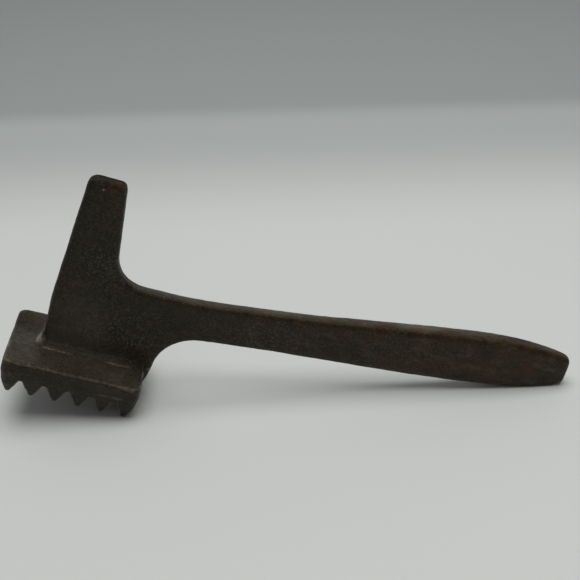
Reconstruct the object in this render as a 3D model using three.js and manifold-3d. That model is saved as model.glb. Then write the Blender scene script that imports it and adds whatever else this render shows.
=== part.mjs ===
// Meat tenderizer in dark cast iron: a toothed head under an upright blade, with a flat paddle handle.
// Millimetres, +Z up, +X along the handle, +Y across it.
// It is drawn standing square on its teeth, with x = 0 at the free end of the head and z = 0 at the
// tooth tips, and then tilted until it lies as it does on a table: on its last row of teeth and on
// the underside of the handle.

import * as THREE from 'three';
import { mergeVertices } from 'three/addons/utils/BufferGeometryUtils.js';
import Module from 'manifold-3d';

// Teeth
const TEETH_ALONG = 6;
const TEETH_ACROSS = 4;
const TOOTH_PITCH = 10.2;
const ROW_PITCH = 11;
const TIP_INSET = 4.4;
const TOOTH_HEIGHT = 9;
const TOOTH_TIP_WIDTH = 1.5;
const TOOTH_TIP_ROUND = 0.6;
const VALLEY_WIDTH = 1.5;
const VALLEY_ROUND = 0.7;

// Plate of the head
const PLATE_THICKNESS = 9;
const PLATE_CORNER_RADIUS = 4.2;
const PLATE_RIM_ROUND = 0.9;
const PLATE_DRAFT = 0.2;
const RIM_FACE_HEIGHT = 6.6;
const RIM_FLANK_BULGE = 0.8;

// Upright blade
const BLADE_HEIGHT = 83.7;
const BLADE_TOP_WIDTH = 15;
const BLADE_FRONT_LEAN = 3.9;
const BLADE_BACK_LEAN = 6.1;
const BLADE_TOP_FRONT_RADIUS = 3.6;
const BLADE_TOP_BACK_RADIUS = 2.4;

// Web that joins the blade and the handle to the head
const WEB_THICKNESS = 6.4;
const WEB_SETBACK = 13.6;
const WEB_TUCK = 0.4;
const WEB_TUCK_HEIGHT = 24;
const WEB_OVERHANG = 2.6;
const LUG_DROP = 11;
const WEB_EDGE_RADIUS = 1.5;

// Neck
const SHOULDER_REACH = 11.2;
const NECK_WIDTH = 18;
const NECK_REACH = 24;
const CROTCH_RADIUS = 14;
const ARMPIT_RADIUS = 20;

// Handle, along an axis that rises away from the head and sags a little before the grip
const HANDLE_RISE = 7.2;
const HANDLE_SAG = 0.8;
const HANDLE_AXIS_HEIGHT = 27.4;
const HANDLE_REACH = 185.2;
const SWELL_REACH = 34;
const GRIP_REACH = 141;
const GRIP_WIDTH = 24.2;
const GRIP_THICKNESS = 8.6;
const GRIP_EDGE_RADIUS = 2.8;
const END_WIDTH = 12.6;
const END_THICKNESS = 5.8;
const END_EDGE_RADIUS = 1.9;
const END_CORNER_RADIUS = 2.8;
const NOSE_FULLNESS = 2.5;

// Bead of joining metal round the foot of the web
const BEAD_SIZE = 2.8;
const BEAD_END_SIZE = 3;
const BEAD_END_RISE = 12;
const BEAD_END_REACH = 10;
const BEAD_HOLLOW = 0.22;
const SEAT_GAP = 0.3;

// Fineness of the curves
const ARC_STEP = 13;
const EDGE_STEPS = 3;
const HANDLE_STEPS = 16;
const NOSE_STEPS = 8;
const BEAD_STEPS = 4;
const SHARED_SIDE = 0.5;
const WHOLE_SIDE = 0.98;
const MITRE_LIMIT = 2;
const WELD_DISTANCE = 1e-5;

const HEAD_LENGTH = (TEETH_ALONG - 1) * TOOTH_PITCH + 2 * TIP_INSET;
const HEAD_WIDTH = (TEETH_ACROSS - 1) * ROW_PITCH + 2 * TIP_INSET;
const PLATE_TOP = TOOTH_HEIGHT + PLATE_THICKNESS;
const RIM_BOTTOM = PLATE_TOP - RIM_FACE_HEIGHT;
const FOOT = PLATE_TOP + SEAT_GAP;
const HEEL = HEAD_LENGTH + WEB_OVERHANG;

const radians = THREE.MathUtils.degToRad;
const lerp = THREE.MathUtils.lerp;

const wasm = await Module();
wasm.setup();

// Length of a side that the arc at one end of it may take up, given the radius at its other end
function roomAlong(side, otherRadius) {
  return side.length() * (otherRadius ? SHARED_SIDE : WHOLE_SIDE);
}

// Corners [x, y, radius] to a line of points, each corner turned into an arc that its sides have room for
function withRoundCorners(corners, closed) {
  const points = [];
  const count = corners.length;
  corners.forEach(([x, y, radius], i) => {
    const corner = new THREE.Vector2(x, y);
    const isEnd = !closed && (i === 0 || i === count - 1);
    if (!radius || isEnd) {
      points.push(corner);
      return;
    }
    const before = corners[(i + count - 1) % count];
    const after = corners[(i + 1) % count];
    const toBefore = new THREE.Vector2(before[0], before[1]).sub(corner);
    const toAfter = new THREE.Vector2(after[0], after[1]).sub(corner);
    const room = Math.min(roomAlong(toBefore, before[2]), roomAlong(toAfter, after[2]));
    toBefore.normalize();
    toAfter.normalize();
    const halfAngle = Math.acos(THREE.MathUtils.clamp(toBefore.dot(toAfter), -1, 1)) / 2;
    const reach = Math.min(radius / Math.tan(halfAngle), room);
    const fitted = reach * Math.tan(halfAngle);
    const centre = toBefore.clone().add(toAfter).normalize();
    centre.multiplyScalar(fitted / Math.sin(halfAngle)).add(corner);
    const from = toBefore.clone().multiplyScalar(reach).add(corner).sub(centre);
    const to = toAfter.clone().multiplyScalar(reach).add(corner).sub(centre);
    const turn = Math.atan2(from.cross(to), from.dot(to));
    const steps = Math.max(2, Math.ceil(Math.abs(turn) / radians(ARC_STEP)));
    for (let k = 0; k <= steps; k++) {
      points.push(from.clone().rotateAround(new THREE.Vector2(), (turn * k) / steps).add(centre));
    }
  });
  return points;
}

// Triangles that fill a flat outline, kept apart along chords between pairs of its points
function fill(section, chords) {
  const pieces = [section.map((_, i) => i)];
  for (const [from, to] of chords) {
    const whole = pieces.find((piece) => piece.includes(from) && piece.includes(to));
    const [first, second] = [whole.indexOf(from), whole.indexOf(to)].sort((a, b) => a - b);
    pieces.push(whole.slice(first, second + 1));
    whole.splice(first + 1, second - first - 1);
  }
  return pieces.flatMap((piece) => {
    const triangles = THREE.ShapeUtils.triangulateShape(piece.map((i) => section[i]), []);
    return triangles.map((triangle) => triangle.map((i) => piece[i]));
  });
}

// Closed solid through rings of points; section is one ring seen flat, from which both ends are filled
function loft(rings, section, chords = []) {
  const count = section.length;
  const positions = rings.flat().flatMap((point) => point.toArray());
  const faces = [];
  for (let r = 0; r < rings.length - 1; r++) {
    for (let i = 0; i < count; i++) {
      const a = r * count + i;
      const b = r * count + ((i + 1) % count);
      faces.push([a, b + count, b], [a, a + count, b + count]);
    }
  }
  const last = (rings.length - 1) * count;
  for (const [a, b, c] of fill(section, chords)) {
    faces.push([a, b, c], [last + a, last + c, last + b]);
  }
  const corner = faces.flat().map((v) => new THREE.Vector3().fromArray(positions, 3 * v));
  let volume = 0;
  for (let i = 0; i < corner.length; i += 3) {
    volume += corner[i].dot(new THREE.Vector3().crossVectors(corner[i + 1], corner[i + 2]));
  }
  const outward = volume > 0 ? faces : faces.map(([a, b, c]) => [a, c, b]);
  const geometry = new THREE.BufferGeometry();
  geometry.setAttribute('position', new THREE.Float32BufferAttribute(positions, 3));
  geometry.setIndex(outward.flat());
  return geometry;
}

// Outline in X and Z pushed through along Y, centred on y = 0
function slab(outline, width) {
  const geometry = new THREE.ExtrudeGeometry(new THREE.Shape(outline), { depth: width, bevelEnabled: false });
  return geometry.translate(0, 0, -width / 2).rotateX(Math.PI / 2);
}

function toSolid(geometry) {
  const bare = geometry.clone();
  bare.deleteAttribute('normal');
  bare.deleteAttribute('uv');
  const merged = mergeVertices(bare, WELD_DISTANCE);
  return new wasm.Manifold(new wasm.Mesh({
    numProp: 3,
    vertProperties: new Float32Array(merged.attributes.position.array),
    triVerts: new Uint32Array(merged.index.array),
  }));
}

function toGeometry(solid) {
  const mesh = solid.getMesh();
  const geometry = new THREE.BufferGeometry();
  geometry.setAttribute('position', new THREE.BufferAttribute(mesh.vertProperties, 3));
  geometry.setIndex(new THREE.BufferAttribute(mesh.triVerts, 1));
  return geometry;
}

// Rectangle with round corners at height z, drawn in from the edge of the head
function headRing(inset, z) {
  const radius = Math.max(PLATE_CORNER_RADIUS - inset, TOOTH_TIP_ROUND);
  const halfLength = HEAD_LENGTH / 2 - inset - radius;
  const halfWidth = HEAD_WIDTH / 2 - inset - radius;
  const steps = Math.ceil(90 / ARC_STEP);
  const ring = [];
  for (const [sx, sy, start] of [[1, 1, 0], [-1, 1, 90], [-1, -1, 180], [1, -1, 270]]) {
    for (let k = 0; k <= steps; k++) {
      const angle = radians(start + (90 * k) / steps);
      const x = HEAD_LENGTH / 2 + sx * halfLength + radius * Math.cos(angle);
      const y = sy * halfWidth + radius * Math.sin(angle);
      ring.push(new THREE.Vector3(x, y, z));
    }
  }
  return ring;
}

// Outer wall of the head, from the tips of the outer teeth up to the rounded rim of the plate
function headBlock() {
  const outerEdge = TIP_INSET - TOOTH_TIP_WIDTH / 2;
  const wall = withRoundCorners([
    [TIP_INSET, 0, 0],
    [outerEdge, 0, TOOTH_TIP_ROUND],
    [outerEdge / 2 - RIM_FLANK_BULGE, RIM_BOTTOM / 2, RIM_BOTTOM],
    [0, RIM_BOTTOM, PLATE_RIM_ROUND],
    [PLATE_DRAFT, PLATE_TOP, PLATE_RIM_ROUND],
    [TIP_INSET, PLATE_TOP, 0],
  ], false);
  const rings = wall.slice(1, -1).map((point) => headRing(point.x, point.y));
  return loft(rings, rings[0].map((point) => new THREE.Vector2(point.x, point.y)));
}

// Rounded V that leaves half a tooth on each side of it
function valleyOutline(centre, pitch) {
  const mouth = (pitch - TOOTH_TIP_WIDTH) / 2;
  const floor = VALLEY_WIDTH / 2;
  const side = pitch / 2;
  return withRoundCorners([
    [centre - side, -TOOTH_TIP_WIDTH, 0],
    [centre + side, -TOOTH_TIP_WIDTH, 0],
    [centre + side, 0, 0],
    [centre + mouth, 0, TOOTH_TIP_ROUND],
    [centre + floor, TOOTH_HEIGHT, VALLEY_ROUND],
    [centre - floor, TOOTH_HEIGHT, VALLEY_ROUND],
    [centre - mouth, 0, TOOTH_TIP_ROUND],
    [centre - side, 0, 0],
  ], true);
}

// Flat bar with the given outline in X and Z, its half thickness and the rounding of its edges given
// for each point
function roundedBar(outline, half, round, chords) {
  const count = outline.length;
  const inward = outline.map((point, i) => {
    const before = point.clone().sub(outline[(i + count - 1) % count]).normalize();
    const after = outline[(i + 1) % count].clone().sub(point).normalize();
    const normal = new THREE.Vector2(-before.y - after.y, before.x + after.x).normalize();
    return normal.divideScalar(Math.max(normal.dot(new THREE.Vector2(-after.y, after.x)), 1 / MITRE_LIMIT));
  });
  const ringAt = (side, angle) => outline.map((point, i) => {
    const inset = round[i] * (1 - Math.sin(angle));
    const y = side * (half[i] - round[i] + round[i] * Math.cos(angle));
    return new THREE.Vector3(point.x + inward[i].x * inset, y, point.y + inward[i].y * inset);
  });
  const angles = Array.from({ length: EDGE_STEPS + 1 }, (_, k) => (k / EDGE_STEPS) * (Math.PI / 2));
  const near = angles.map((angle) => ringAt(-1, angle));
  const far = angles.map((angle) => ringAt(1, angle)).reverse();
  return loft([...near, ...far], near[0].map((point) => new THREE.Vector2(point.x, point.z)), chords);
}

// Block that spans the head between two heights, for cutting a seat flat
function seatCut(bottom, top) {
  const geometry = new THREE.BoxGeometry(2 * HEAD_LENGTH, HEAD_WIDTH, top - bottom);
  return toSolid(geometry.translate(HEAD_LENGTH / 2, 0, (bottom + top) / 2));
}

// Lug on the end of the plate that carries the heel of the neck and dies out down the end face
function heelLug() {
  const root = HEAD_LENGTH - PLATE_CORNER_RADIUS - WEB_EDGE_RADIUS;
  const top = PLATE_TOP + 2 * WEB_EDGE_RADIUS;
  const outline = withRoundCorners([
    [root, top, 0],
    [root, PLATE_TOP - LUG_DROP, 0],
    [HEAD_LENGTH, PLATE_TOP - LUG_DROP, 0],
    [HEEL - WEB_OVERHANG / 3, PLATE_TOP - LUG_DROP / 2, LUG_DROP],
    [HEEL, PLATE_TOP, 0],
    [HEEL, top, 0],
  ], true);
  const half = outline.map(() => WEB_THICKNESS / 2);
  const round = outline.map(() => WEB_EDGE_RADIUS);
  return toSolid(roundedBar(outline, half, round)).subtract(seatCut(PLATE_TOP, PLATE_TOP + WEB_THICKNESS));
}

function makeHead() {
  let head = toSolid(headBlock());
  for (let i = 0; i < TEETH_ALONG - 1; i++) {
    const centre = TIP_INSET + (i + 0.5) * TOOTH_PITCH;
    head = head.subtract(toSolid(slab(valleyOutline(centre, TOOTH_PITCH), HEAD_WIDTH + TOOTH_PITCH)));
  }
  for (let j = 0; j < TEETH_ACROSS - 1; j++) {
    const centre = TIP_INSET + (j + 0.5) * ROW_PITCH - HEAD_WIDTH / 2;
    const valley = slab(valleyOutline(centre, ROW_PITCH), HEAD_LENGTH + TOOTH_PITCH).rotateZ(Math.PI / 2);
    head = head.subtract(toSolid(valley.translate(HEAD_LENGTH / 2, 0, 0)));
  }
  return toGeometry(head.add(heelLug()));
}

const riseAngle = radians(HANDLE_RISE);
const alongHandle = new THREE.Vector2(Math.cos(riseAngle), Math.sin(riseAngle));
const acrossHandle = new THREE.Vector2(-Math.sin(riseAngle), Math.cos(riseAngle));
const handleRoot = new THREE.Vector2(HEAD_LENGTH, PLATE_TOP + HANDLE_AXIS_HEIGHT);

// Point beside the axis of the handle, reach from the end of the head and offset across it
function besideAxis(reach, offset) {
  const sag = HANDLE_SAG * Math.sin(Math.PI * THREE.MathUtils.clamp(reach / GRIP_REACH, 0, 1));
  const onAxis = handleRoot.clone().addScaledVector(alongHandle, reach);
  return onAxis.addScaledVector(acrossHandle, offset - sag);
}

// A size along the handle: one value up to the neck, a smooth swell to the grip, a full nose to the end
function sizeAlong(reach, neck, grip, end) {
  if (reach <= GRIP_REACH) {
    return lerp(neck, grip, THREE.MathUtils.smoothstep(reach, SWELL_REACH, GRIP_REACH));
  }
  const past = (reach - GRIP_REACH) / (HANDLE_REACH - GRIP_REACH);
  return lerp(grip, end, Math.min(past, 1) ** NOSE_FULLNESS);
}

// Point on the underside (-1) or the top (1) of the handle
function onHandle(reach, side) {
  return besideAxis(reach, (side * sizeAlong(reach, NECK_WIDTH, GRIP_WIDTH, END_WIDTH)) / 2);
}

// Reaches at which the handle has a section, from the neck to its end
function handleReaches() {
  const reaches = [];
  for (let k = 0; k < HANDLE_STEPS; k++) {
    reaches.push(lerp(NECK_REACH, GRIP_REACH, k / HANDLE_STEPS));
  }
  for (let k = 0; k <= NOSE_STEPS; k++) {
    reaches.push(lerp(GRIP_REACH, HANDLE_REACH, k / NOSE_STEPS));
  }
  return reaches;
}

// Outline of blade, web, neck and handle in X and Z, counterclockwise seen from the -Y side
function bodyOutline() {
  const bladeTop = PLATE_TOP + BLADE_HEIGHT;
  const shoulder = onHandle(SHOULDER_REACH, 1);
  const tuckTop = PLATE_TOP + WEB_TUCK_HEIGHT;
  const topFront = WEB_SETBACK + (bladeTop - tuckTop) * Math.tan(radians(BLADE_FRONT_LEAN));
  const topBack = topFront + BLADE_TOP_WIDTH;
  const crotch = topBack + (bladeTop - shoulder.y) * Math.tan(radians(BLADE_BACK_LEAN));
  const edge = (side) => handleReaches().map((reach) => {
    const point = onHandle(reach, side);
    return [point.x, point.y, reach === HANDLE_REACH ? END_CORNER_RADIUS : 0];
  });
  const under = onHandle(NECK_REACH, -1);
  const armpit = under.y - (under.x - HEEL) * Math.tan(riseAngle);
  return withRoundCorners([
    [WEB_SETBACK + WEB_TUCK, FOOT - WEB_EDGE_RADIUS, 0],
    [HEEL, FOOT - WEB_EDGE_RADIUS, 0],
    [HEEL, armpit, ARMPIT_RADIUS],
    ...edge(-1),
    ...edge(1).reverse(),
    [shoulder.x, shoulder.y, GRIP_REACH],
    [crotch, shoulder.y, CROTCH_RADIUS],
    [topBack, bladeTop, BLADE_TOP_BACK_RADIUS],
    [topFront, bladeTop, BLADE_TOP_FRONT_RADIUS],
    [WEB_SETBACK, tuckTop, WEB_TUCK_HEIGHT],
  ], true);
}

// Blade, web and handle in one bar that swells along the handle, its foot cut flat to sit on the plate
function makeBody() {
  const outline = bodyOutline();
  const reach = outline.map((point) => point.clone().sub(handleRoot).dot(alongHandle));
  const half = reach.map((s) => sizeAlong(s, WEB_THICKNESS, GRIP_THICKNESS, END_THICKNESS) / 2);
  const round = reach.map((s) => sizeAlong(s, WEB_EDGE_RADIUS, GRIP_EDGE_RADIUS, END_EDGE_RADIUS));
  const stationPoint = (s, side) => {
    const target = onHandle(s, side);
    return outline.findIndex((point) => point.distanceTo(target) < WELD_DISTANCE);
  };
  const chords = handleReaches().slice(0, -1).map((s) => [stationPoint(s, -1), stationPoint(s, 1)]);
  const bar = toSolid(roundedBar(outline, half, round, chords));
  return toGeometry(bar.subtract(seatCut(0, FOOT)));
}

// Hollow bead on the plate that runs along both sides of the web and climbs its free end
function makeBead() {
  const side = WEB_THICKNESS / 2 + SEAT_GAP;
  const front = WEB_SETBACK + WEB_TUCK - SEAT_GAP;
  const back = HEAD_LENGTH - PLATE_RIM_ROUND;
  const corner = WEB_EDGE_RADIUS + SEAT_GAP;
  const path = withRoundCorners([
    [back, -side, 0],
    [front + BEAD_END_REACH, -side, 0],
    [front, -side, corner],
    [front, side, corner],
    [front + BEAD_END_REACH, side, 0],
    [back, side, 0],
  ], false);
  const profile = [new THREE.Vector2(0, 0)];
  for (let k = 0; k <= BEAD_STEPS; k++) {
    const rise = k / BEAD_STEPS;
    const sag = BEAD_HOLLOW * Math.sin(Math.PI * rise);
    profile.push(new THREE.Vector2(1 - rise - sag, rise - sag * (k < BEAD_STEPS)));
  }
  const rings = path.map((point, i) => {
    const along = path[Math.min(i + 1, path.length - 1)].clone().sub(path[Math.max(i - 1, 0)]).normalize();
    const outward = new THREE.Vector2(-along.y, along.x);
    const endness = THREE.MathUtils.smoothstep(-point.x, -front - BEAD_END_REACH, -front);
    const reach = lerp(BEAD_SIZE, BEAD_END_SIZE, endness);
    const height = lerp(BEAD_SIZE, BEAD_END_RISE, Math.max(-outward.x, 0) ** 2);
    return profile.map(({ x, y }) => new THREE.Vector3(
      point.x + outward.x * x * reach - (y * height * WEB_TUCK) / WEB_TUCK_HEIGHT,
      point.y + outward.y * x * reach,
      FOOT + y * height,
    ));
  });
  return loft(rings, profile);
}

// Tilt at which the underside of the handle comes down to the table while the last tooth row is on it
function restingTilt() {
  const lastTip = HEAD_LENGTH - TIP_INSET + TOOTH_TIP_WIDTH / 2;
  const slopes = bodyOutline().filter((p) => p.x > HEEL).map((p) => p.y / (p.x - lastTip));
  return Math.atan(Math.min(...slopes));
}

const castIron = { color: 0x2a2723, roughness: 0.62, metalness: 0.55 };
const headIron = { color: 0x35302a, roughness: 0.7, metalness: 0.5 };
const beadMetal = { color: 0x5a564e, roughness: 0.5, metalness: 0.7 };

const tool = new THREE.Group();
for (const [name, geometry, look] of [
  ['handle_and_blade', makeBody(), castIron],
  ['toothed_head', makeHead(), headIron],
  ['foot_bead', makeBead(), beadMetal],
]) {
  const mesh = new THREE.Mesh(geometry, new THREE.MeshStandardMaterial(look));
  mesh.name = name;
  tool.add(mesh);
}
tool.rotation.y = restingTilt();

// The origin is on the table, under the middle of the tool's box
const model = new THREE.Group();
model.add(tool);
const box = new THREE.Box3().setFromObject(model, true);
tool.position.set(-(box.min.x + box.max.x) / 2, -(box.min.y + box.max.y) / 2, -box.min.z);

export default model;
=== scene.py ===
import bpy
import bmesh
import math
import numpy as np
from bpy.props import FloatProperty, FloatVectorProperty, IntProperty, PointerProperty
from mathutils import Matrix, Vector


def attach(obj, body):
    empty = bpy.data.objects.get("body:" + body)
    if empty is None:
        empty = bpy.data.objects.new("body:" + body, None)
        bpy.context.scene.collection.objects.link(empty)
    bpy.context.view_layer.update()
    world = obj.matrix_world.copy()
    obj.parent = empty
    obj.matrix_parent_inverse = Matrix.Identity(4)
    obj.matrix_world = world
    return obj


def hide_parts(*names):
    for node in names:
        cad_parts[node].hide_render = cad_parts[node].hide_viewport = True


bl_info = {
    "name": "Iron Meat Tenderizer",
    "version": (1, 0, 0),
    "blender": (4, 5, 0),
    "location": "3D View > Sidebar > Tenderizer",
    "description": "Builds a worn cast-iron meat tenderizer on a pale table, piece by piece",
    "category": "Object",
}

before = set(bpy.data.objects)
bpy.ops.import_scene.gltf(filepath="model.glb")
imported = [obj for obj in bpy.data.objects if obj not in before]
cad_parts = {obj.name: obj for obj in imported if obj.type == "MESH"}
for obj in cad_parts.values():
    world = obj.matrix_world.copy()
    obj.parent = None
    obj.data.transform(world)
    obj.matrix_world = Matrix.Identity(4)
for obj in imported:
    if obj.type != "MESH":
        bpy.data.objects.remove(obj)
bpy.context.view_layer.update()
MM = 0.001

# Least upward part of the normal of a face that may be the plate's top
LOOKS_UP = 0.8
# Points of a CAD node that lie closer than this are one point
SAME_POINT = 0.001 * MM
# Points this close above the lowest one belong to the flat foot of a piece
FLAT_FOOT = 0.01 * MM
# How deep the feet of the bar and of the bead stand in the plate
BAR_DEPTH = 0.9 * MM
BEAD_DEPTH = 0.4 * MM
# Share of the way to its neighbours' middle that one round of wear moves a point
WEAR_STEP = 0.5
# Rounds of averaging after which a point is compared with its surroundings
BEND_ROUNDS = 3
# Radius of a bend that counts as a full edge or a full hollow
FULL_BEND = 2 * MM


def square_frame():
    """Matrix from the tool standing square on its teeth to the tool as it lies on the table."""
    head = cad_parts["toothed_head"].data
    tops = (face for face in head.polygons if face.normal.z > LOOKS_UP)
    up = max(tops, key=lambda face: face.area).normal.normalized()
    across = Vector((0, 1, 0))
    along = across.cross(up)
    corners = [vertex.co for vertex in head.vertices]
    start = min(corner.dot(along) for corner in corners)
    foot = min(corner.dot(up) for corner in corners)
    turn = Matrix((along, across, up)).transposed().to_4x4()
    return Matrix.Translation(along * start + up * foot) @ turn


SQUARE = square_frame()
TILT = math.atan2(SQUARE[0][2], SQUARE[2][2])


# Sizes and colours

def length(name, description, default):
    """Length property whose default is given in millimetres."""
    return FloatProperty(name=name, description=description, default=default * MM, subtype="DISTANCE",
                         unit="LENGTH", precision=5)


def share(name, description, default):
    """Property between none of something (0) and all of it (1)."""
    return FloatProperty(name=name, description=description, default=default, min=0, max=1,
                         subtype="FACTOR")


def angle(name, description, degrees):
    """Angle property whose default is given in degrees."""
    return FloatProperty(name=name, description=description, default=math.radians(degrees),
                         subtype="ANGLE", unit="ROTATION")


def colour(name, description, default):
    """Colour property given as it looks on a screen, from 0 to 255, and kept as linear light."""
    linear = [((value / 255 + 0.055) / 1.055) ** 2.4 if value > 10 else value / 255 / 12.92
              for value in default]
    return FloatVectorProperty(name=name, description=description, default=linear, subtype="COLOR",
                               size=3, min=0, max=1)


def piece_settings(grain=0.5, swell=0.4, wear_rounds=45, lump_size=15, lump_height=0.35, dent_size=3.2,
                   dent_depth=0.2, brown=0.55, rubbed=0.3, pale=1.0, settled=0.45, bright=0.0):
    """Annotations of a piece's shape, wear and painted light, with the bar's values where none is given.
    Lengths are in millimetres. Blender reads the properties of a group from its annotations."""
    return {
        "grain": length("Grain", "Spacing of the points on the surface", grain),
        "swell": length("Swell", "How far the surface stands out before it is worn down", swell),
        "wear_rounds": IntProperty(name="Wear rounds", default=wear_rounds, min=0, max=80,
                                   description="Rounds of smoothing that wear the edges down"),
        "lump_size": length("Lump size", "Width of the broad uneven places", lump_size),
        "lump_height": length("Lump height", "Height of the broad uneven places", lump_height),
        "dent_size": length("Dent size", "Width of the small dents", dent_size),
        "dent_depth": length("Dent depth", "Depth of the small dents", dent_depth),
        "brown": share("Brown", "How brown the piece is", brown),
        "rubbed": share("Rubbed", "How bright its edges are rubbed", rubbed),
        "pale": share("Pale places", "How much the pale places show", pale),
        # Painted sheen on faces that look up
        "settled": share("Painted top sheen", "How pale the faces are that look up", settled),
        # bright: strength of the painted highlights on the bead
        "bright": share("Bead highlight", "How much of it is bare metal away from the edges", bright),
    }


class BarSettings(bpy.types.PropertyGroup):
    """Blade, web, neck and handle"""
    __annotations__ = piece_settings()


class HeadSettings(bpy.types.PropertyGroup):
    """Toothed head"""
    __annotations__ = piece_settings(grain=0.38, swell=0.12, wear_rounds=3, lump_size=9, brown=0.5,
                                     rubbed=0.42)


class BeadSettings(bpy.types.PropertyGroup):
    """Ragged bead round the foot of the web"""
    __annotations__ = piece_settings(grain=0.22, swell=0.2, wear_rounds=2, lump_size=3, lump_height=0.4,
                                     dent_size=1.0, rubbed=0.1, pale=0.5, settled=0.25, bright=0.8)


class IronSettings(bpy.types.PropertyGroup):
    """Colours and finish of the old iron"""
    dark: colour("Dark iron", "Iron in the hollows", (26, 24, 17))
    plain: colour("Plain iron", "Most of the surface", (40, 37, 27))
    brown: colour("Brown iron", "Handled places", (51, 39, 20))
    rust: colour("Rust", "Thin old rust", (64, 40, 26))
    # Also paints the sheen on faces that look up and the light near the foot of the web
    worn: colour("Worn iron", "Places rubbed to a paler grey", (78, 73, 63))
    # Also paints the highlights on the rims, the bead and the top edge of the handle
    bare: colour("Bare metal", "Edges rubbed bright", (146, 137, 120))
    # Also the painted glint where the bead climbs the web
    nick_and_glint: colour("Shiny metal", "Fresh nicks and the brightest spots", (205, 198, 182))
    speck: colour("Specks", "Fine pale grain", (94, 88, 76))
    roughness: share("Roughness", "Roughness of the plain surface", 0.5)
    metallic: share("Metallic", "How metallic the surface looks", 0.3)
    specular: share("Specular", "Strength of the reflections", 0.3)
    pit_size: length("Pit size", "Spacing of the pits", 1.6)
    relief: length("Relief", "Depth of the pits and the grain", 0.25)


class StageSettings(bpy.types.PropertyGroup):
    """Table, lamps and camera"""
    camera_place: FloatVectorProperty(name="Camera place", description="Where the camera stands", size=3,
                                      default=(-0.01065, -0.36873, 0.27397), subtype="XYZ", unit="LENGTH",
                                      precision=5)
    camera_pitch: angle("Camera pitch", "How far the camera looks down", 30.96)
    camera_turn: angle("Camera turn", "How far the camera turns to the right", 1.53)
    camera_roll: angle("Camera roll", "How far the camera leans over", -0.6)
    lens: FloatProperty(name="Lens", description="Focal length in millimetres on a 36 mm sensor",
                        default=62.07, min=20, max=200)
    table: colour("Table", "Colour of the table", (193, 195, 192))
    far_table: colour("Far table", "Colour of the table where it falls into shade", (163, 166, 164))
    backdrop: colour("Backdrop", "Colour behind the table", (144, 148, 147))
    table_depth: FloatProperty(name="Table depth", description="Distance to the far edge of the table",
                               default=0.345, subtype="DISTANCE", unit="LENGTH")
    sky: FloatProperty(name="Sky", description="Strength of the even light from all round", default=0.12,
                       min=0)
    back_glow: FloatProperty(name="Back glow", description="Strength of the light from behind",
                             default=0.75, min=0)
    lamp_power: FloatProperty(name="Lamp power", description="Power of the large lamp overhead",
                              default=14.5, min=0, unit="POWER")


class TenderizerSettings(bpy.types.PropertyGroup):
    """All settings of the tool"""
    bar: PointerProperty(type=BarSettings)
    head: PointerProperty(type=HeadSettings)
    bead: PointerProperty(type=BeadSettings)
    iron: PointerProperty(type=IronSettings)
    stage: PointerProperty(type=StageSettings)


# Surface of the pieces

def merged_copy(node):
    """Copy of a CAD node with its loose triangles merged into one closed surface."""
    form = bmesh.new()
    form.from_mesh(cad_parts[node].data)
    bmesh.ops.remove_doubles(form, verts=form.verts, dist=SAME_POINT)
    bmesh.ops.recalc_face_normals(form, faces=form.faces)
    return form


def drawn_down(form, drop):
    """Moves the flat foot of a piece down, so that it stands in the plate and not above it."""
    inverse = SQUARE.inverted()
    heights = {vertex: (inverse @ vertex.co).z for vertex in form.verts}
    foot = min(heights.values())
    low = [vertex for vertex, height in heights.items() if height < foot + FLAT_FOOT]
    bmesh.ops.translate(form, verts=low, vec=SQUARE.to_3x3() @ Vector((0, 0, -drop)))


def drop_crumbs(mesh):
    """Keeps the largest closed part of a mesh and removes crumbs that came loose from its thin edges."""
    form = bmesh.new()
    form.from_mesh(mesh)
    parts = []
    left = set(form.verts)
    while left:
        part = [left.pop()]
        for vertex in part:
            for other in (edge.other_vert(vertex) for edge in vertex.link_edges):
                if other in left:
                    left.remove(other)
                    part.append(other)
        parts.append(part)
    crumbs = sorted(parts, key=len)[:-1]
    bmesh.ops.delete(form, geom=[vertex for part in crumbs for vertex in part], context="VERTS")
    form.to_mesh(mesh)
    form.free()


def values_of(items, name, width, kind=np.float64):
    """Array with one row of values for each point or edge of a mesh."""
    values = np.empty(len(items) * width, kind)
    items.foreach_get(name, values)
    return values.reshape(-1, width)


def neighbour_mean(edges, values):
    """Mean of a value over the points next to each point."""
    count = len(values)
    ends = np.concatenate([edges[:, 0], edges[:, 1]])
    others = np.concatenate([edges[:, 1], edges[:, 0]])
    weight = np.bincount(ends, minlength=count)
    columns = values.reshape(count, -1).T
    sums = [np.bincount(ends, weights=column[others], minlength=count) for column in columns]
    return (np.stack(sums, 1) / np.maximum(weight, 1)[:, None]).reshape(values.shape)


def mark_wear(mesh, grain):
    """Gives the mesh the attributes edge, hollow and upward: how far it bends out, bends in, faces up."""
    place = values_of(mesh.vertices, "co", 3)
    normal = values_of(mesh.vertices, "normal", 3)
    edges = values_of(mesh.edges, "vertices", 2, np.int64)
    around = place
    for _ in range(BEND_ROUNDS):
        around = neighbour_mean(edges, around)
    bend = np.sum((place - around) * normal, 1) / (BEND_ROUNDS * grain ** 2)
    bend = neighbour_mean(edges, bend) * FULL_BEND
    for name, value in (("edge", bend), ("hollow", -bend), ("upward", normal[:, 2])):
        layer = mesh.attributes.new(name, "FLOAT", "POINT")
        layer.data.foreach_set("value", np.clip(value, 0, 1).astype(np.float32))


def modify(piece, name, kind, **settings):
    """Adds a modifier with its settings."""
    modifier = piece.modifiers.new(name, kind)
    for key, value in settings.items():
        setattr(modifier, key, value)


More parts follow.
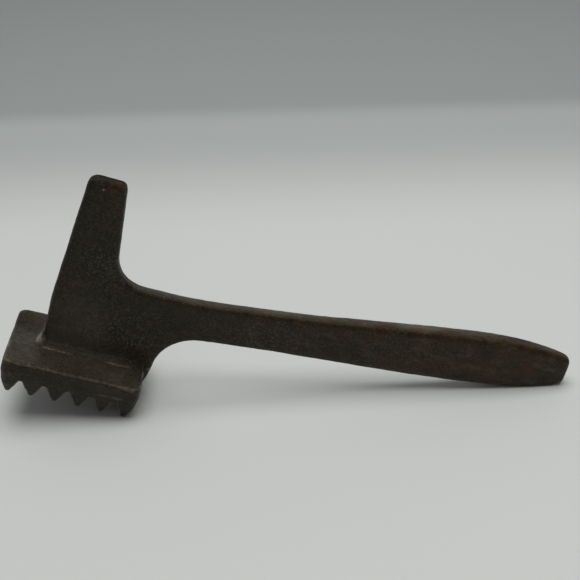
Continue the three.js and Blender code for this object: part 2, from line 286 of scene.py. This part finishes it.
def cast_piece(name, form, shape):
    """Object whose surface is the form's, made uneven and worn as an old casting is."""
    rough = bpy.data.meshes.new(name)
    form.to_mesh(rough)
    form.free()
    piece = bpy.data.objects.new(name, rough)
    bpy.context.scene.collection.objects.link(piece)
    modify(piece, "swell", "DISPLACE", mid_level=0, strength=shape.swell)
    modify(piece, "grain", "REMESH", mode="VOXEL", voxel_size=shape.grain)
    modify(piece, "wear", "SMOOTH", factor=WEAR_STEP, iterations=shape.wear_rounds)
    for kind, width, height in (
        ("lumps", shape.lump_size, shape.lump_height),
        ("dents", shape.dent_size, shape.dent_depth),
    ):
        clouds = bpy.data.textures.new(f"{name}_{kind}", "CLOUDS")
        clouds.noise_scale = width
        clouds.noise_depth = 2
        modify(piece, kind, "DISPLACE", texture=clouds, texture_coords="LOCAL", strength=height)
    evaluated = piece.evaluated_get(bpy.context.evaluated_depsgraph_get())
    shaped = bpy.data.meshes.new_from_object(evaluated)
    piece.modifiers.clear()
    piece.data = shaped
    bpy.data.meshes.remove(rough)
    shaped.name = name
    drop_crumbs(shaped)
    for vertex in shaped.vertices:
        vertex.co.z = max(vertex.co.z, 0.0)
    shaped.shade_smooth()
    mark_wear(shaped, shape.grain)
    return piece


# Materials

class Channel:
    """One output of a node. An expression on channels adds the Math nodes that work it out."""

    def __init__(self, finish, socket):
        self.finish = finish
        self.socket = socket

    def __add__(self, other):
        return self.finish.math("ADD", self, other)

    __radd__ = __add__

    def __sub__(self, other):
        return self.finish.math("SUBTRACT", self, other)

    def __rsub__(self, other):
        return self.finish.math("SUBTRACT", other, self)

    def __mul__(self, other):
        return self.finish.math("MULTIPLY", self, other)

    __rmul__ = __mul__


class Finish:
    """Builds the nodes of a material or of a world."""

    def __init__(self, owner):
        self.owner = owner
        owner.use_nodes = True
        self.tree = owner.node_tree
        self.tree.nodes.clear()

    def node(self, kind, settings=None, inputs=None, output=0):
        """Adds a node with its settings and the values or links of its sockets, and returns one output."""
        node = self.tree.nodes.new(kind)
        for key, value in (settings or {}).items():
            setattr(node, key, value)
        for key, value in (inputs or {}).items():
            if isinstance(value, Channel):
                self.tree.links.new(value.socket, node.inputs[key])
            else:
                node.inputs[key].default_value = value
        return Channel(self, node.outputs[output]) if node.outputs else None

    def math(self, operation, first, second):
        """One Math node."""
        return self.node("ShaderNodeMath", {"operation": operation}, {0: first, 1: second})

    def mix(self, factor, first, second):
        """Mixes two colours, each a channel or the three numbers of a property."""
        first, second = (value if isinstance(value, Channel) else (*value, 1) for value in (first, second))
        return self.node("ShaderNodeMix", {"data_type": "RGBA"}, {0: factor, 6: first, 7: second}, 2)

    def steps(self, value, none, full):
        """0 at none, 1 at full, and smooth between. Full may be the lower of the two."""
        return self.node("ShaderNodeMapRange", {"interpolation_type": "SMOOTHSTEP"},
                         {"Value": value, "From Min": none, "From Max": full})

    def part(self, vector, axis):
        """The X, Y or Z of a vector."""
        return self.node("ShaderNodeSeparateXYZ", None, {0: vector}, axis)

    def vector_math(self, operation, first, second, output=0):
        """One Vector Math node."""
        return self.node("ShaderNodeVectorMath", {"operation": operation}, {0: first, 1: second}, output)

    def square_place(self):
        """Place on the object in millimetres, turned so that the tool stands square on its teeth."""
        return self.node("ShaderNodeMapping", {"vector_type": "TEXTURE"}, {
            "Vector": self.node("ShaderNodeTexCoord", output="Object"),
            "Location": SQUARE.translation, "Rotation": (0, TILT, 0), "Scale": (MM, MM, MM)})

    def noise(self, place, width, detail, roughness=0.5):
        """Cloudy pattern whose clouds are about as wide as given."""
        return self.node("ShaderNodeTexNoise", None, {
            "Vector": place, "Scale": 1 / width, "Detail": detail, "Roughness": roughness})

    def cells(self, place, width):
        """Distance from the middle of the nearest cell, for cells about as wide as given."""
        return self.node("ShaderNodeTexVoronoi", {"feature": "F1"},
                         {"Vector": place, "Scale": 1 / width}, "Distance")

    def attribute(self, name):
        """Value that the mesh keeps for each of its points."""
        return self.node("ShaderNodeAttribute", {"attribute_name": name}, None, "Fac")

    def marks(self, place, marks, squash=(1, 1, 1)):
        """Sum of marks, each a centre, a reach to which it fades, and a strength. A squash under 1 on an
        axis makes them that much longer along it."""
        squashed = self.vector_math("MULTIPLY", place, squash)
        total = 0
        for centre, reach, strength in marks:
            middle = Vector(centre) * Vector(squash)
            away = self.vector_math("DISTANCE", squashed, middle, "Value")
            total = self.steps(away, reach, 0) * strength + total
        return total

    def surface(self, tone, roughness, metallic, height, depth, specular=0.5):
        """Ends a material in one Principled shader."""
        bump = self.node("ShaderNodeBump", None, {"Height": height, "Distance": depth})
        shader = self.node("ShaderNodeBsdfPrincipled", None, {
            "Base Color": tone, "Roughness": roughness, "Metallic": metallic, "Normal": bump,
            "Specular IOR Level": specular})
        self.node("ShaderNodeOutputMaterial", None, {"Surface": shader})


# Marks on the tool as it stands square on its teeth, in millimetres: centre, reach and strength.
# X runs along the tool, Y across it away from the camera, and Z up.

# Rust stains
STAINS = (
    ((28.4, -3.2, 102.0), 8, 0.9),
    ((31.2, -3.2, 90.1), 9, 0.5),
    ((18.4, -3.2, 53.5), 9, 0.6),
    ((19.7, -3.2, 33.7), 10, 0.35),
    ((179.1, -4.0, 61.9), 16, 0.35),
    ((228.0, -4.0, 78.0), 16, 0.4),
    ((7.2, 11.5, 18.0), 8, 0.5),
    # This stain also paints the pinkish highlight at the left end of the plate's near rim
    ((4.0, -20.5, 17.0), 6, 0.8),
)
# Fresh nicks near the top of the blade
NICKS = (
    ((23.9, -3.2, 98.4), 0.9, 1.3),
    ((21.4, -3.2, 97.8), 0.6, 0.6),
)
# Places with more of the pale grain
COARSE = (
    ((46.8, -3.2, 29.8), 24, 1.0),
    ((34.2, -3.2, 62.0), 18, 0.7),
    ((110.0, -3.5, 48.0), 26, 0.6),
    ((165.0, -4.0, 55.0), 30, 0.6),
)
# Pale places on the web and the plate, partly painted light where the web, the bead and the plate shade
# each other
PALE = (
    ((26.0, -3.2, 34.0), 24, 1.0),
    ((20.0, -3.2, 23.5), 11, 1.6),
    ((33.0, -3.2, 24.0), 13, 1.5),
    ((46.0, -13.0, 18.0), 15, 1.0),
    ((61.5, -3.2, 14.0), 5, 0.9),
    ((4.3, -20.9, 11.7), 2.2, 1.2),
)
# Dark places on the top of the blade and on the far side of the plate
DEEP = (
    ((19.0, 1.5, 101.0), 6.5, 1.0),
    ((25.0, 1.5, 101.5), 6.5, 1.0),
    ((30.0, 1.5, 101.0), 6.5, 1.0),
    ((5.0, 12.0, 18.0), 14, 0.7),
)
# Painted highlight where the bead climbs the free end of the web
BEAD_END = (
    ((12.2, -1.2, 20.2), 4.5, 2.4),
    ((12.8, -0.6, 25.5), 4.0, 1.3),
    ((13.2, 0.2, 30.0), 4.5, 1.0),
)
# Painted highlight: broken light line along the toe of the bead
BEAD_TOE = (
    ((17.5, -6.1, 18.1), 1.3, 0.9),
    ((24.0, -6.3, 18.1), 1.3, 0.8),
    ((45.5, -6.2, 18.1), 1.2, 0.65),
    ((50.5, -6.2, 18.1), 1.2, 0.5),
)
# Painted highlights: short light lines on the near wall and rim of the plate
RIM_LINES = (
    ((44.5, -20.9, 11.6), 1.0, 0.18),
    ((50.5, -20.9, 11.6), 1.0, 0.26),
    ((53.5, -20.9, 17.2), 1.2, 0.2),
    ((57.0, -20.9, 16.5), 1.0, 0.2),
)
# Painted highlight along the foot of the web
WEB_FOOT = (
    ((22.0, -4.0, 21.0), 4.5, 0.15),
    ((42.0, -4.0, 21.0), 4.5, 0.15),
)
# Painted highlights: light stretches of the top edge of the neck and the handle
RIDGE = (
    ((108.0, 1.0, 60.8), 4.5, 0.1),
    ((172.0, 0.5, 71.0), 4.5, 0.2),
)
# Dark stretches of the same edge near the handle's end
RIDGE_END = (
    ((217.0, 1.5, 76.5), 4.5, 0.6),
    ((236.0, 1.5, 74.5), 4.5, 0.5),
)
# Painted highlight on the rim at the left end of the plate
LEFT_RIM = (
    ((0.6, -8.5, 17.4), 1.8, 0.5),
    ((0.6, -16.0, 17.2), 1.8, 0.5),
)

# Squashes that make marks or streaks longer along the tool or across it
LONG = (0.25, 1.0, 1.0)
DEEPWISE = (1.0, 0.4, 1.0)
STREAKED = (0.4, 1.0, 1.0)

# Widths of the patterns in the iron, in millimetres
BROAD_WIDTH = 15
RED_WIDTH = 7
PATCH_WIDTH = 4
STREAK_WIDTH = 3.5
GRAIN_WIDTH = 1.1
FINE_WIDTH = 0.6

# Places where each of these starts and is full, in millimetres: signs of handling along the tool, painted
# shade down the teeth, and deeper painted shade towards the middle of the head
HANDLED = (40, 220)
TOOTH_SHADE = (10.5, 7.0)
INNER_SHADE = (16.5, 13.0)

# Levels of a pattern or an attribute at which each of these starts and is full
MOTTLE = (0.38, 0.62)
BROWN_CLOUDS = (0.35, 0.65)
RED_CLOUDS = (0.48, 0.62)
STAIN_PATCHES = (0.3, 0.6)
STAIN_GRAIN = (0.25, 0.6)
FACING_UP = (0.6, 0.97)
LIGHT_STREAKS = (0.5, 0.68)
DARK_STREAKS = (0.48, 0.34)
PALE_SPECKS = (0.48, 0.7)
DARK_SPECKS = (0.46, 0.34)
PIT_WALL = (0.1, 0.45)
PIT_PATCHES = (0.45, 0.6)
RUBBED_EDGE = (0.15, 0.45)
RUBBED_PATCHES = (0.3, 0.6)
BEAD_GRAIN = (0.3, 0.5)


class OldIron(Finish):
    """Pitted dark iron, browner along the handle and rubbed bright on its edges, with painted highlights,
    a painted sheen on faces that look up and painted shade among the teeth.
    """

    def __init__(self, name, iron, shape):
        super().__init__(bpy.data.materials.new(name))
        self.iron = iron
        self.shape = shape
        self.place = self.square_place()
        self.hollow = self.attribute("hollow")
        self.broad = self.noise(self.place, BROAD_WIDTH, 3)
        self.patch = self.noise(self.place, PATCH_WIDTH, 4, 0.6)
        self.grain = self.noise(self.place, GRAIN_WIDTH, 3, 0.65)
        self.speckle = self.grain * 0.6 + self.noise(self.place, FINE_WIDTH, 1) * 0.4
        self.mottle = self.steps(self.patch * 0.6 + self.broad * 0.4, *MOTTLE)
        self.handled = self.steps(self.part(self.place, "X"), *HANDLED)
        dark_marks = self.marks(self.place, DEEP) + self.marks(self.place, RIDGE_END, LONG)
        self.deep = self.math("MINIMUM", dark_marks, 1)
        self.pits = self.pitted_places()
        self.rub_and_sheen = self.rubbed_and_sheen_places()

        tone = self.mix(self.mottle, iron.dark, iron.plain)
        for layer in (self.paled, self.browned, self.painted_top_sheen, self.shaded, self.rusted, self.streaked,
                      self.speckled, self.pitted, self.rubbed):
            tone = layer(tone)
        roughness = self.grain * -0.2 + (iron.roughness + 0.1)
        roughness = roughness + self.hollow * 0.1 + self.deep * 0.4 - self.rub_and_sheen * 0.1
        metallic = self.rub_and_sheen * 0.3 + iron.metallic
        height = self.speckle - self.pits * 0.3
        self.surface(tone, roughness, metallic, height, iron.relief, iron.specular)

    def pitted_places(self):
        """Where the pits are: in the middle of cells, in some patches only."""
        cells = self.cells(self.place, self.iron.pit_size / MM)
        patches = self.steps(self.broad * 0.4 + self.patch * 0.6, *PIT_PATCHES)
        return (1 - self.steps(cells, *PIT_WALL)) * patches

    def rubbed_and_sheen_places(self):
        """How far the iron is rubbed bare on its edges and nicks, with painted highlights on the rims, the
        bead and the top edge of the handle. Where it is more than 1, it takes the brightest colour.
        """
        uneven = self.patch * 0.5 + self.grain * 0.5
        edges = self.steps(self.attribute("edge") * (uneven * 1.2 + 0.4), *RUBBED_EDGE)
        edges = edges * (1 - self.deep) * self.shape.rubbed
        # Painted highlight on the rim at the plate's left end
        rim = self.marks(self.place, LEFT_RIM, DEEPWISE) * self.steps(self.patch, *RUBBED_PATCHES)
        # Painted highlights where the bead climbs the web and along its toe
        bead = self.marks(self.place, BEAD_END) + self.marks(self.place, BEAD_TOE, LONG)
        bead = bead * self.steps(self.grain, *BEAD_GRAIN) * self.shape.bright
        # Painted highlights on the plate's rim, the foot of the web and the top edge of the handle
        lines = self.marks(self.place, RIM_LINES + WEB_FOOT + RIDGE, LONG)
        return edges + rim + bead + self.marks(self.place, NICKS) + lines

    def paled(self, tone):
        """Paler grey on the web and the plate, partly painted light where they shade each other near the
        web's foot.
        """
        pale = self.marks(self.place, PALE) * (self.mottle * 0.4 + 0.4) * self.shape.pale
        return self.mix(pale, tone, self.iron.worn)

    def browned(self, tone):
        """Cloudy brown that grows along the handle."""
        clouds = self.steps(self.broad * 0.5 + self.patch * 0.5, *BROWN_CLOUDS)
        brown = (self.handled + self.shape.brown * 0.6) * (0.4 + clouds * 0.5)
        return self.mix(brown, tone, self.iron.brown)

    def painted_top_sheen(self, tone):
        """Painted sheen on the faces that look up, where the light from above falls."""
        upward = self.steps(self.attribute("upward"), *FACING_UP)
        return self.mix(upward * (self.mottle * 0.4 + 0.6) * self.shape.settled, tone, self.iron.worn)

    def shaded(self, tone):
        """Dark marks, and painted shade on the teeth, darker towards their tips and the middle of the
        head.
        """
        low = self.steps(self.part(self.place, "Z"), *TOOTH_SHADE)
        from_middle = self.math("ABSOLUTE", self.part(self.place, "Y"), 0)
        inner = self.steps(from_middle, *INNER_SHADE)
        return self.mix(self.deep + low * (inner * 0.6 + 0.35), tone, self.iron.dark)

    def rusted(self, tone):
        """Rust stains, and thin red rust that grows along the handle."""
        stains = self.marks(self.place, STAINS) * self.steps(self.patch, *STAIN_PATCHES)
        stains = stains * self.steps(self.grain, *STAIN_GRAIN) * (1 - self.deep * 0.6)
        clouds = self.steps(self.noise(self.place, RED_WIDTH, 3, 0.6), *RED_CLOUDS)
        return self.mix(stains + clouds * (self.handled * 0.45 + 0.08), tone, self.iron.rust)

    def streaked(self, tone):
        """Light and dark streaks along the tool."""
        long_place = self.vector_math("MULTIPLY", self.place, STREAKED)
        streak = self.noise(long_place, STREAK_WIDTH, 3, 0.6)
        light = self.steps(streak, *LIGHT_STREAKS) * (self.handled * 0.3 + 0.1)
        dark = self.steps(streak, *DARK_STREAKS) * (self.handled * 0.35 + 0.1)
        return self.mix(dark, self.mix(light, tone, self.iron.worn), self.iron.dark)

    def speckled(self, tone):
        """Fine pale grain, with less of it along the handle."""
        coarse = self.marks(self.place, COARSE) * 0.9 + 0.4
        specks = self.steps(self.speckle, *PALE_SPECKS) * coarse
        return self.mix(specks * (0.8 - self.handled * 0.25), tone, self.iron.speck)

    def pitted(self, tone):
        """Dark pits, dark grain and dark hollows."""
        dark_grain = self.steps(self.speckle, *DARK_SPECKS) * (0.9 - self.handled * 0.3)
        return self.mix(self.pits * 0.5 + dark_grain + self.hollow * 0.4, tone, self.iron.dark)

    def rubbed(self, tone):
        """Bare metal on rubbed places and painted highlights, and the brightest colour on nicks and on the
        painted glint of the bead.
        """
        return self.mix(self.rub_and_sheen - 1, self.mix(self.rub_and_sheen, tone, self.iron.bare), self.iron.nick_and_glint)


# Pieces

def finished(piece, material, slot, *nodes):
    """Gives a piece its material and its place in the frame."""
    piece.data.materials.clear()
    piece.data.materials.append(material)
    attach(piece, "root")
    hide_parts(*nodes)


class TENDERIZER_OT_bar(bpy.types.Operator):
    """Make the blade, web, neck and handle as one uneven iron bar"""
    bl_idname = "tenderizer.bar"
    bl_label = "Blade and Handle"

    def execute(self, context):
        settings = context.scene.tenderizer
        form = merged_copy("handle_and_blade")
        drawn_down(form, BAR_DEPTH)
        piece = cast_piece("iron_bar", form, settings.bar)
        iron = OldIron("bar_iron", settings.iron, settings.bar)
        finished(piece, iron.owner, "handle_iron", "handle_and_blade")
        return {"FINISHED"}


class TENDERIZER_OT_head(bpy.types.Operator):
    """Make the toothed head as a worn casting"""
    bl_idname = "tenderizer.head"
    bl_label = "Toothed Head"

    def execute(self, context):
        settings = context.scene.tenderizer
        piece = cast_piece("tooth_block", merged_copy("toothed_head"), settings.head)
        iron = OldIron("head_iron", settings.iron, settings.head)
        finished(piece, iron.owner, "head_iron", "toothed_head")
        return {"FINISHED"}


class TENDERIZER_OT_bead(bpy.types.Operator):
    """Make the ragged bead of joining metal round the foot of the web"""
    bl_idname = "tenderizer.bead"
    bl_label = "Foot Bead"

    def execute(self, context):
        settings = context.scene.tenderizer
        form = merged_copy("foot_bead")
        drawn_down(form, BEAD_DEPTH)
        piece = cast_piece("ragged_bead", form, settings.bead)
        iron = OldIron("bead_iron", settings.iron, settings.bead)
        finished(piece, iron.owner, "bead_metal", "foot_bead")
        return {"FINISHED"}


# Stage, in metres: X to the right, Y away from the camera and Z up

# Distance from the middle of the table sheet to its sides
TABLE_REACH = 4
# How far the table's far edge moves back for each metre to the right
EDGE_SLOPE = 0.025
# The shade starts this far back and is full this far before the far edge
SHADE_START = 0.15
SHADE_BEFORE_EDGE = 0.04
# The far edge is blurred from this far before it to this far behind it
BLUR_BEFORE = 0.015
BLUR_BEHIND = 0.025
# Size and depth of the table's faint unevenness
TABLE_GRAIN = 2 * MM
TABLE_RELIEF = 0.02 * MM
TABLE_ROUGHNESS = 0.75

# Colour of the light from the room, and its strength where the camera sees it
ROOM_COLOUR = (0.98, 1.0, 1.0, 1)
ROOM_SEEN = 0.6
# Upward parts of a direction between which the even light grows, and its share from below them
SKY_RISE = (0.1, 1.0)
SKY_LEAST = 0.15
# Backward parts of a direction between which the glow from behind grows
GLOW_RISE = (0.0, 0.8)
# Upward parts between which that glow fades, and the share that it loses
GLOW_FADE = (0.3, 0.7)
GLOW_LOST = 0.6

# Name, place, width and share of the lamp power
LAMPS = (
    ("lamp_overhead", (0.02, 0.0, 1.2), 1.1, 1.0),
    ("lamp_front", (0.2, -1.2, 1.0), 1.0, 0.1),
)

# Width of the camera's sensor in millimetres, and the nearest that it sees
SENSOR_WIDTH = 36
NEAREST_SEEN = 0.01


class TENDERIZER_OT_stage(bpy.types.Operator):
    """Lay the pale table and set up the lamps and the camera"""
    bl_idname = "tenderizer.stage"
    bl_label = "Table, Lamps and Camera"

    def execute(self, context):
        stage = context.scene.tenderizer.stage
        self.lay_table(context, stage)
        self.light_room(context, stage)
        self.hang_lamps(context, stage)
        self.place_camera(context, stage)
        return {"FINISHED"}

    def lay_table(self, context, stage):
        """Lays one pale sheet that falls into shade and ends in a blurred edge."""
        sheet = bmesh.new()
        bmesh.ops.create_grid(sheet, x_segments=1, y_segments=1, size=TABLE_REACH)
        mesh = bpy.data.meshes.new("table")
        sheet.to_mesh(mesh)
        sheet.free()
        table = bpy.data.objects.new("table", mesh)
        context.scene.collection.objects.link(table)
        finish = Finish(bpy.data.materials.new("pale_table"))
        place = finish.node("ShaderNodeTexCoord", output="Object")
        depth = finish.part(place, "Y") - finish.part(place, "X") * EDGE_SLOPE
        edge = stage.table_depth
        shaded = finish.steps(depth, SHADE_START, edge - SHADE_BEFORE_EDGE)
        tone = finish.mix(shaded, stage.table, stage.far_table)
        behind = finish.steps(depth, edge - BLUR_BEFORE, edge + BLUR_BEHIND)
        tone = finish.mix(behind, tone, stage.backdrop)
        height = finish.noise(place, TABLE_GRAIN, 3)
        finish.surface(tone, TABLE_ROUGHNESS, 0.0, height, TABLE_RELIEF)
        mesh.materials.append(finish.owner)

    def light_room(self, context, stage):
        """Even light from above, with a glow from behind, and a plain backdrop for the camera."""
        world = bpy.data.worlds.new("room")
        context.scene.world = world
        sky = Finish(world)
        look = sky.node("ShaderNodeTexCoord", output="Generated")
        height = sky.part(look, "Z")
        even = sky.steps(height, *SKY_RISE) * (1 - SKY_LEAST) + SKY_LEAST
        behind = sky.steps(sky.part(look, "Y"), *GLOW_RISE)
        behind = behind * (1 - sky.steps(height, *GLOW_FADE) * GLOW_LOST)
        seen = sky.node("ShaderNodeLightPath", output="Is Camera Ray")
        unseen = even * stage.sky + behind * stage.back_glow
        strength = unseen * (1 - seen) + seen * ROOM_SEEN
        light = sky.node("ShaderNodeBackground", None, {"Color": ROOM_COLOUR, "Strength": strength})
        sky.node("ShaderNodeOutputWorld", None, {"Surface": light})

    def hang_lamps(self, context, stage):
        """Hangs round lamps that look at the tool and leave no glint on it."""
        for name, place, width, power in LAMPS:
            light = bpy.data.lights.new(name, "AREA")
            light.shape = "DISK"
            light.size = width
            light.energy = stage.lamp_power * power
            lamp = bpy.data.objects.new(name, light)
            lamp.visible_glossy = False
            lamp.location = place
            lamp.rotation_euler = (-Vector(place)).to_track_quat("-Z", "Y").to_euler()
            context.scene.collection.objects.link(lamp)

    def place_camera(self, context, stage):
        """Places the camera as the stage's settings say."""
        lens = bpy.data.cameras.new("camera")
        lens.lens = stage.lens
        lens.sensor_width = SENSOR_WIDTH
        lens.clip_start = NEAREST_SEEN
        camera = bpy.data.objects.new("camera", lens)
        camera.matrix_world = (Matrix.Translation(stage.camera_place)
                               @ Matrix.Rotation(-stage.camera_turn, 4, "Z")
                               @ Matrix.Rotation(math.pi / 2 - stage.camera_pitch, 4, "X")
                               @ Matrix.Rotation(stage.camera_roll, 4, "Z"))
        context.scene.collection.objects.link(camera)
        context.scene.camera = camera
        context.scene.view_settings.view_transform = "Standard"


class TENDERIZER_PT_panel(bpy.types.Panel):
    """Lists the steps that build the tool"""
    bl_label = "Meat Tenderizer"
    bl_idname = "TENDERIZER_PT_panel"
    bl_space_type = "VIEW_3D"
    bl_region_type = "UI"
    bl_category = "Tenderizer"

    def draw(self, context):
        for operator in OPERATORS:
            self.layout.operator(operator.bl_idname)
        iron = context.scene.tenderizer.iron
        for name in IronSettings.__annotations__:
            self.layout.prop(iron, name)


OPERATORS = (TENDERIZER_OT_bar, TENDERIZER_OT_head, TENDERIZER_OT_bead, TENDERIZER_OT_stage)
SETTINGS = (BarSettings, HeadSettings, BeadSettings, IronSettings, StageSettings, TenderizerSettings)
CLASSES = (*SETTINGS, *OPERATORS, TENDERIZER_PT_panel)


def register():
    for each in CLASSES:
        bpy.utils.register_class(each)
    bpy.types.Scene.tenderizer = PointerProperty(type=TenderizerSettings)


def unregister():
    del bpy.types.Scene.tenderizer
    for each in reversed(CLASSES):
        bpy.utils.unregister_class(each)


def main():
    register()
    bpy.ops.tenderizer.bar()
    bpy.ops.tenderizer.head()
    bpy.ops.tenderizer.bead()
    bpy.ops.tenderizer.stage()


if __name__ == "__main__":
    main()
